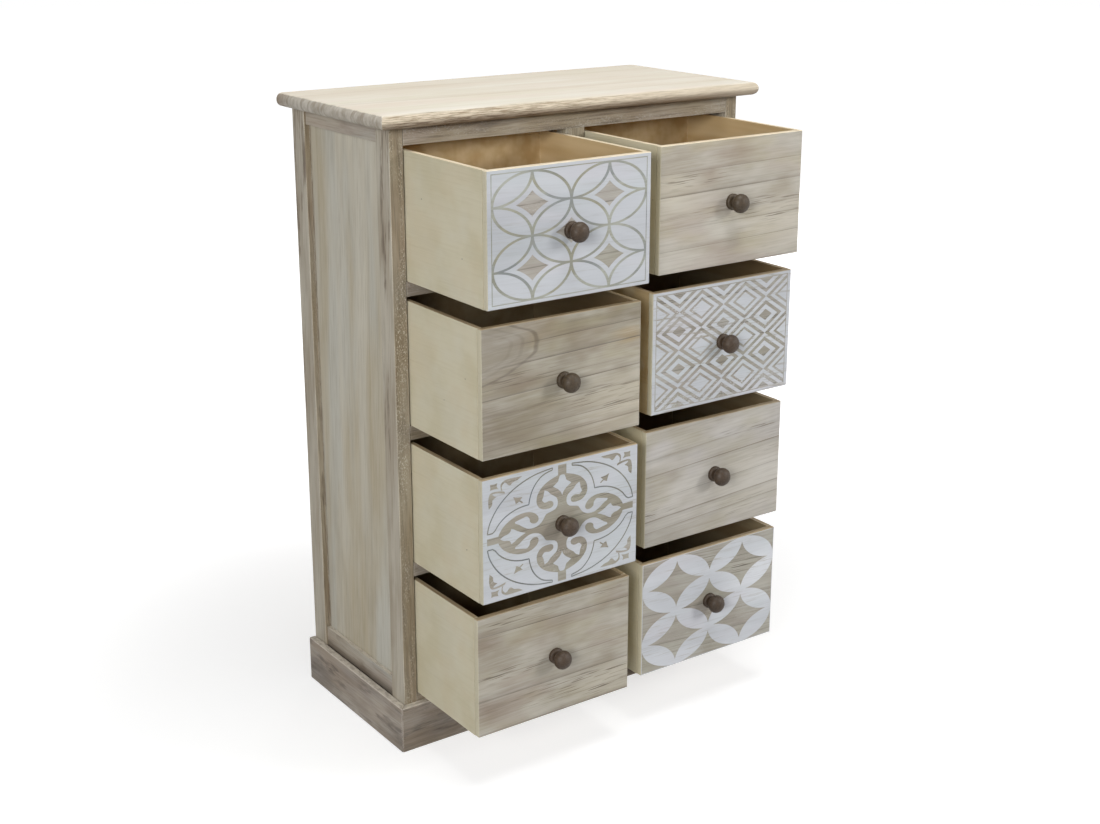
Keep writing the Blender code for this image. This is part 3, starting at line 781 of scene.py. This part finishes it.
def painted(drawer, ending, polygons, paint, thickness=PAINT_THICKNESS):
    """Raises polygons, given in metres from the middle of a front, as one coat of paint on it."""
    low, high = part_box(drawer + "_front")
    middle = (low + high) / 2
    shape = bmesh.new()
    for polygon in polygons:
        corners = [(middle.x + x, low.y + PAINT_SUNK, middle.z + z) for x, z in polygon]
        shape.faces.new([shape.verts.new(corner) for corner in corners])
    bmesh.ops.remove_doubles(shape, verts=shape.verts, dist=PAINT_SUNK / 10)
    carried = bmesh.ops.extrude_face_region(shape, geom=shape.faces[:])
    moved = [one for one in carried["geom"] if isinstance(one, bmesh.types.BMVert)]
    bmesh.ops.translate(shape, vec=(0, -PAINT_SUNK - thickness, 0), verts=moved)
    piece = new_piece(shape, f"{drawer}_{ending}", paint)
    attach(piece, drawer)


def front_size(drawer, less=0.0):
    """Half the width and half the height of a front, with a margin taken off."""
    low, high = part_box(drawer + "_front")
    return (high.x - low.x) / 2 - less, (high.z - low.z) / 2 - less


def rectangle(half_x, half_z):
    return [(half_x, half_z), (-half_x, half_z), (-half_x, -half_z), (half_x, -half_z)]


def border(half_x, half_z, outer_x, outer_z):
    """Four mitred strips between an inner and an outer rectangle."""
    inner, outer = rectangle(half_x, half_z), rectangle(outer_x, outer_z)
    return [(inner[k], outer[k], outer[k - 1], inner[k - 1]) for k in range(4)]


PETAL_CELLS = 4  # along each side of a field


def petal_cells(half_x, half_z):
    """The cells of a petal pattern, each as one corner, its two sides, whether the opposite corner lies
    inside the field, and whether this is the cell's first corner."""
    wide, high = 2 * half_x / PETAL_CELLS, 2 * half_z / PETAL_CELLS
    for column, row, end in itertools.product(range(PETAL_CELLS), range(PETAL_CELLS), (0, 1)):
        across = end if (column + row) % 2 == 0 else 1 - end
        corner = (column + across, row + end)
        way = (1 - 2 * across, 1 - 2 * end)
        far = (corner[0] + way[0], corner[1] + way[1])
        inside = all(0 < place < PETAL_CELLS for place in far)
        start = (corner[0] * wide - half_x, corner[1] * high - half_z)
        yield start, (way[0] * wide, way[1] * high), inside, end == 0


def arc(radius, start):
    """Part of a circle around (0, 0), that starts as far from one axis as it ends from the other."""
    angles = [start + (math.pi / 2 - 2 * start) * step / ARC_STEPS for step in range(ARC_STEPS + 1)]
    return [(radius * math.cos(a), radius * math.sin(a)) for a in angles]


def quarter_arc(radius):
    """The part of a circle with a radius over 1 that lies in the unit square."""
    return arc(radius, math.acos(1 / radius))


def half_petal(radius):
    """The part of a circle that lies beyond the line from (1, 0) to (0, 1)."""
    tip = (1 + math.sqrt(2 * radius * radius - 1)) / 2
    return arc(radius, math.atan2(1 - tip, tip))


def petal(radius):
    """The overlap of two circles around opposite corners of the unit square."""
    half = [(1.0, 0.0), *quarter_arc(radius)] if radius > 1 else half_petal(radius)[:-1]
    return half + [(1 - x, 1 - y) for x, y in half]


def placed(points, start, sides):
    return [(start[0] + sides[0] * x, start[1] + sides[1] * y) for x, y in points]


def strips(inner, outer):
    """The four-sided strips between two lines of as many points."""
    return list(zip(inner, inner[1:], outer[1:], outer))


PETAL_FIELD = (0.94, 0.93)  # as shares of the front's width and height
PETAL_LINE = 0.037  # half the width of the groove round a petal, as a share of its circle
STAR_EDGE = 1.161  # radius of the circle that the bare stars end at


def outlined_petals():
    """White all over, but for thin grooves round the petals and a bare star between them. Returns the
    white and the grooves."""
    half_x, half_z = front_size("drawer_1_left")
    field_x, field_z = PETAL_FIELD[0] * half_x, PETAL_FIELD[1] * half_z
    line_x, line_z = field_x + LINE_WIDTH, field_z + LINE_WIDTH
    white = border(line_x, line_z, *front_size("drawer_1_left", EDGE_BARE))
    grooves = border(field_x, field_z, line_x, line_z)
    for start, sides, inside, first in petal_cells(field_x, field_z):
        if first:
            white.append(placed(petal(1 - PETAL_LINE), start, sides))
        inner = placed(half_petal(1 - PETAL_LINE), start, sides)
        near = placed(quarter_arc(1 + PETAL_LINE), start, sides)
        tips = placed([(1, 0), (0, 1)], start, sides)
        grooves += strips(inner, near) + [[inner[0], tips[0], near[0]], [inner[-1], near[-1], tips[1]]]
        if inside:
            white += strips(near, placed(quarter_arc(STAR_EDGE), start, sides))
        else:
            corner = placed([(1, 1)], start, sides)[0]
            white += [[a, b, corner] for a, b in zip(near, near[1:])]
    return white, grooves


FILLED_MARGIN = 0.0016
FILLED_RADIUS = 1.011


def filled_petals():
    field_x, field_z = front_size("drawer_4_right", FILLED_MARGIN)
    polygons = border(field_x, field_z, *front_size("drawer_4_right", EDGE_BARE))
    for start, sides, _, first in petal_cells(field_x, field_z):
        if first:
            polygons.append(placed(petal(FILLED_RADIUS), start, sides))
    return polygons


DIAMOND_FIELD = (0.942, 0.932)  # as shares of the front
DIAMONDS = 3  # repeats across and up
# Where the white rings of a diamond begin and end, from its middle outwards
WHITE_HEARTED = ((0.0, 0.43), (0.58, 0.79))
BARE_HEARTED = ((0.31, 0.57), (0.79, 1.0))


def nested_diamonds():
    """Three by three repeats of diamonds in diamonds, each cut in quarters."""
    half_x, half_z = front_size("drawer_2_right")
    field_x, field_z = DIAMOND_FIELD[0] * half_x, DIAMOND_FIELD[1] * half_z
    edge = front_size("drawer_2_right", EDGE_BARE)
    polygons = border(field_x + LINE_WIDTH, field_z + LINE_WIDTH, *edge)
    reach_x, reach_z = field_x / DIAMONDS, field_z / DIAMONDS
    steps = range(-DIAMONDS, DIAMONDS + 1)
    for across, up in itertools.product(steps, steps):
        if (across + up) % 2 == 0:
            continue
        rings = BARE_HEARTED if across % 2 == 0 else WHITE_HEARTED
        for way_x, way_z in itertools.product((-1, 1), (-1, 1)):
            if max(abs(across + way_x / 2), abs(up + way_z / 2)) > DIAMONDS:
                continue
            middle = (across * reach_x, up * reach_z)
            sides = (way_x * reach_x, way_z * reach_z)
            for inner, outer in rings:
                corners = [(outer, 0), (0, outer), (0, inner), (inner, 0)]
                polygons.append(placed(corners if inner else corners[:3], middle, sides))
    return polygons


# The scroll pattern: one quarter of its outlines, in millimetres from the middle of the front.
# A point that is written twice is a corner, and the line is round through the others.

SCROLL_FIELD = [
    (113.5, 0), (113.5, 4.5), (113.5, 4.5), (97, 4.5), (97, 4.5), (94, 10), (88, 16.5), (80, 21.5),
    (71, 25.3), (61, 27), (51, 26.5), (43, 23.5), (37.5, 18.5), (36.3, 13), (39.5, 9.6), (45, 9.8),
    (49.3, 13), (50, 17.2), (54, 21.2), (60, 20.5), (66, 19.2), (72, 18), (72, 18), (71.5, 15.6),
    (71.5, 15.6), (66, 13), (60, 8.8), (53, 4.8), (46, 3.6), (39, 4.6), (33, 7.6), (28.5, 12.5),
    (25, 17.5), (18, 19.4), (11.5, 21.2), (8, 24.5), (6.8, 30), (8.5, 36), (13, 39.8), (18, 43.2),
    (22, 47.6), (27, 50), (27, 50), (28, 46), (28.8, 42), (31, 37.6), (31, 37.6), (27, 33.6),
    (20, 34.4), (15, 32.6), (13.4, 28.6), (15.8, 25.2), (22, 24.3), (30, 25.4), (36, 29.4), (39.3, 36),
    (38.6, 44.5), (34.5, 51.5), (27.5, 57.8), (18, 62.4), (6.5, 66), (6.5, 66), (6.5, 79), (6.5, 79),
    (0, 79),
]
FLOWER_ACROSS = [
    (56, 0), (62, 2.2), (68, 5), (73, 8.2), (77.6, 10), (77.6, 10), (79, 6.5), (83, 4.2), (89, 3),
    (94, 0), (94, 0),
]
FLOWER_UP = [
    (0, 38), (1.6, 42), (6, 46.8), (14, 52), (14, 52), (10.5, 54.6), (6.4, 57.4), (5.2, 61),
    (3.4, 64.6), (0, 65.4),
]
CRESCENT = [
    (15, 77.3), (15, 77.3), (15.5, 74.6), (15.5, 74.6), (24, 72.8), (32, 69.4), (40, 62.4), (46, 53.6),
    (49.5, 44), (51, 36.4), (51, 36.4), (62, 35.8), (74, 33.2), (86, 28), (95.5, 20.8), (101.5, 13.6),
    (105.5, 10.6), (105.5, 10.6), (113, 10.6), (113, 10.6), (110.5, 21), (105, 32), (97, 43),
    (86, 53.4), (72, 62.6), (56, 69.6), (38, 74.6),
]
CRESCENT_LINE = 1.8
ARROW = [
    (59.4, 41.6), (59.4, 41.6), (61, 40.4), (61, 40.4), (65.4, 43.6), (65.4, 43.6), (70.6, 41.4),
    (70.6, 41.4), (72, 46), (74.4, 51.6), (74.4, 51.6), (68, 49.6), (60.4, 48.6), (60.4, 48.6),
    (64, 45.2), (64, 45.2),
]
SPRIGS = [[
    (110.4, 43), (110.4, 43), (105.4, 48), (104.6, 54), (98.6, 57.4), (98.6, 57.4), (103, 59.6),
    (104.6, 61.8), (98, 61.6), (90.6, 60), (86.6, 58.8), (86.6, 58.8), (88, 62.2), (98, 64.2),
    (108, 63.4), (111.2, 54),
], [
    (90, 63.2), (90, 63.2), (91, 68.6), (87.6, 73), (84.6, 72.4), (82, 69.4), (78.4, 68.2),
    (74, 71.4), (67, 73), (60.6, 76.6), (60.6, 76.6), (75, 77), (86, 76.6), (92.4, 72.6),
    (92.8, 67), (92, 63.6), (92, 63.6),
], [
    (95.6, 66.8), (95.6, 66.8), (102, 67.8), (108.6, 67.2), (108.6, 67.2), (107.8, 71), (108.4, 75),
    (108.4, 75), (103, 74.4), (97.4, 75.2), (97.4, 75.2), (98.4, 71),
]]
ROUND_STEPS = 4  # straight pieces of line between two points
SAME = 0.001  # how near two points are, in millimetres, that count as one


def on_curve(a, b, c, d, t):
    """A number that goes from b to c while t goes from 0 to 1, on a smooth curve through all four."""
    bend = 2 * a - 5 * b + 4 * c - d
    twist = 3 * b - a - 3 * c + d
    return 0.5 * (2 * b + (c - a) * t + bend * t * t + twist * t ** 3)


def rounded(points, closed):
    """A smooth line through points, with a corner wherever a point is written twice."""
    count = len(points)
    line = []
    for k in range(count if closed else count - 1):
        start, end = points[k], points[(k + 1) % count]
        if start == end:
            continue
        before = points[k - 1] if closed or k else start
        after = points[(k + 2) % count] if closed or k + 2 < count else end
        for step in range(ROUND_STEPS):
            pairs = zip(before, start, end, after)
            line.append(tuple(on_curve(*four, step / ROUND_STEPS) for four in pairs))
    if not closed:
        line.append(points[-1])
    return line


def all_round(quarter):
    """Joins a line that runs from one axis to the other with its three mirror images."""
    line = []
    for across, up in ((1, 1), (-1, 1), (-1, -1), (1, -1)):
        side = [(across * x, up * z) for x, z in quarter]
        side = side if across * up > 0 else side[::-1]
        line += [point for point in side if not line or math.dist(point, line[-1]) > SAME]
    return line[:-1] if math.dist(line[0], line[-1]) < SAME else line


def both_sides(half):
    """Closes a line whose two ends lie on an axis with its own mirror image."""
    on_z = abs(half[0][0]) < SAME and abs(half[-1][0]) < SAME
    other = [(-x, z) if on_z else (x, -z) for x, z in half]
    return half + other[::-1][1:-1]


def mirrored(line):
    return [[(across * x, up * z) for x, z in line] for across in (1, -1) for up in (1, -1)]


def band(line, width):
    """The two edges of a closed line drawn with some width."""
    edges = ([], [])
    count = len(line)
    for k, point in enumerate(line):
        before, after = Vector(line[k - 1]), Vector(line[(k + 1) % count])
        way = (after - before).normalized()
        for edge, side in zip(edges, (1, -1)):
            edge.append((point[0] + side * way.y * width / 2, point[1] - side * way.x * width / 2))
    return edges


def in_metres(loops):
    return [[(x * MM, z * MM) for x, z in loop] for loop in loops]


def scroll_loops():
    loops = [all_round(rounded(SCROLL_FIELD, False))]
    for flower in (FLOWER_ACROSS, FLOWER_UP):
        whole = both_sides(rounded(flower, False))
        loops += [whole, [(-x, -z) for x, z in whole]]
    for edge in band(rounded(CRESCENT, True), CRESCENT_LINE):
        loops += mirrored(edge)
    for shape in (ARROW, *SPRIGS):
        loops += mirrored(rounded(shape, True))
    return in_metres(loops)


def crescent_lines():
    inner, outer = band(rounded(CRESCENT, True), CRESCENT_LINE)
    made = []
    for near, far in zip(mirrored(inner), mirrored(outer)):
        made += strips(near + near[:1], far + far[:1])
    return in_metres(made)


def scrolls():
    """Fills what lies between the outlines, counted from the edge inwards."""
    loops = [rectangle(*front_size("drawer_3_left", EDGE_BARE)), *scroll_loops()]
    points, lines = [], []
    for loop in loops:
        first = len(points)
        points += [Vector(point) for point in loop]
        lines += [(first + k, first + (k + 1) % len(loop)) for k in range(len(loop))]
    corners, _, faces, *_ = delaunay_2d_cdt(points, lines, [], 2, 1e-7)
    made = []
    for face in faces:
        middle = sum((corners[k] for k in face), Vector((0, 0))) / len(face)
        if sum(holds(loop, middle) for loop in loops) % 2:
            made.append([tuple(corners[k]) for k in face])
    return made


def holds(loop, point):
    """Whether a point lies inside a loop."""
    inside = False
    for (ax, az), (bx, bz) in zip(loop, loop[1:] + loop[:1]):
        if (az > point.y) != (bz > point.y) and point.x < (bx - ax) * (point.y - az) / (bz - az) + ax:
            inside = not inside
    return inside


def paint_fronts():
    tints = ((126, 132, 136), (154, 150, 128))
    olive = groove_stain("olive_stain", (168, 169, 157), (138, 138, 124), tints)
    tints = ((104, 112, 120), (130, 126, 110))
    slate = groove_stain("slate_stain", (120, 124, 124), (96, 98, 96), tints)
    white, grooves = outlined_petals()
    painted("drawer_1_left", "paint", white, white_paint("petal_paint", 0.16, -12, PETAL_SHADE))
    painted("drawer_1_left", "grooves", grooves, olive, GROOVE_THICKNESS)
    painted("drawer_2_right", "paint", nested_diamonds(), white_paint("diamond_paint", 0.9, -4))
    painted("drawer_3_left", "paint", scrolls(), white_paint("scroll_paint", 0.5, -8))
    painted("drawer_3_left", "grooves", crescent_lines(), slate, GROOVE_THICKNESS)
    painted("drawer_4_right", "paint", filled_petals(), white_paint("filled_paint", 0.4, 0, FILLED_SHINE))


# Studio

AMBIENT = 0.085
FLOOR_RADIUS = 14
FLOOR_WHITE_AT = (0.55, 1.3)  # from the middle, where plain white begins and where it is full
LAMPS_AIM = (0, 0, 0.45)
# Name, place, width in metres and power in watts
LAMPS = (
    ("key", (3.0, -3.4, 2.2), 1.4, 90),
    ("fill", (-3.4, -2.6, 1.8), 1.7, 118),
    ("overhead", (0, -0.6, 3.2), 1.4, 42),
    ("back", (2.6, 3.2, 0.35), 0.9, 55),
)


def seen_share(tree):
    """1 for what the camera sees, also in or through a gloss, and 0 for light that falls on things."""
    path = put(tree, "LightPath").node
    seen = compute(tree, "MAXIMUM", path.outputs["Is Camera Ray"], path.outputs["Is Glossy Ray"])
    return compute(tree, "MAXIMUM", seen, path.outputs["Is Transmission Ray"])


def floor_material():
    """Takes the chest's shadow near it, and is white to the camera everywhere else."""
    material, tree, shader = new_material("floor_white")
    shader.inputs["Base Color"].default_value = (0.5, 0.5, 0.5, 1)
    shader.inputs["Roughness"].default_value = 1.0
    shader.inputs["Specular IOR Level"].default_value = 0.0
    glow = between(tree, length(tree, spot_of(tree)), *FLOOR_WHITE_AT, 0.65)
    tree.links.new(product(tree, seen_share(tree), glow), shader.inputs["Emission Strength"])
    shader.inputs["Emission Color"].default_value = (1, 1, 1, 1)
    return material


def lamp(name, place, size, power):
    light = bpy.data.lights.new(name, "AREA")
    light.shape = "DISK"
    light.size = size
    light.energy = power
    thing = added(name, light)
    thing.location = place
    thing.rotation_euler = (Vector(LAMPS_AIM) - Vector(place)).to_track_quat("-Z", "Y").to_euler()


def studio():
    bpy.ops.mesh.primitive_circle_add(
        vertices=96, radius=FLOOR_RADIUS, fill_type="NGON", location=(0, 0, 0)
    )
    ground = bpy.context.object
    ground.name = "floor"
    ground.data.materials.append(floor_material())

    world = bpy.data.worlds.new("studio")
    bpy.context.scene.world = world
    world.use_nodes = True
    tree = world.node_tree
    surface = tree.nodes["Background"]
    surface.inputs["Color"].default_value = (1, 1, 1, 1)
    tree.links.new(between(tree, seen_share(tree), 0.0, 1.0, AMBIENT), surface.inputs["Strength"])
    for settings in LAMPS:
        lamp(*settings)


def camera():
    data = bpy.data.cameras.new("camera")
    data.sensor_width = SENSOR_WIDTH
    data.lens = CAMERA_LENS
    data.shift_y = CAMERA_SHIFT
    thing = added("camera", data)
    thing.location = CAMERA_PLACE
    thing.rotation_euler = (math.radians(90 + CAMERA_PITCH), 0, -math.radians(CAMERA_YAW))
    bpy.context.scene.camera = thing


def main():
    for thing in list(bpy.context.scene.objects):
        if thing.type in ("LIGHT", "CAMERA") or thing.name == "Cube":
            bpy.data.objects.remove(thing)
    bpy.context.scene.view_settings.view_transform = "Standard"
    dress_posts()
    dress_front()
    dress_sides()
    dress_plinth()
    dress_top()
    dress_inside()
    dress_drawers()
    shade_round_nodes()
    add_brads()
    paint_fronts()
    studio()
    camera()


main()
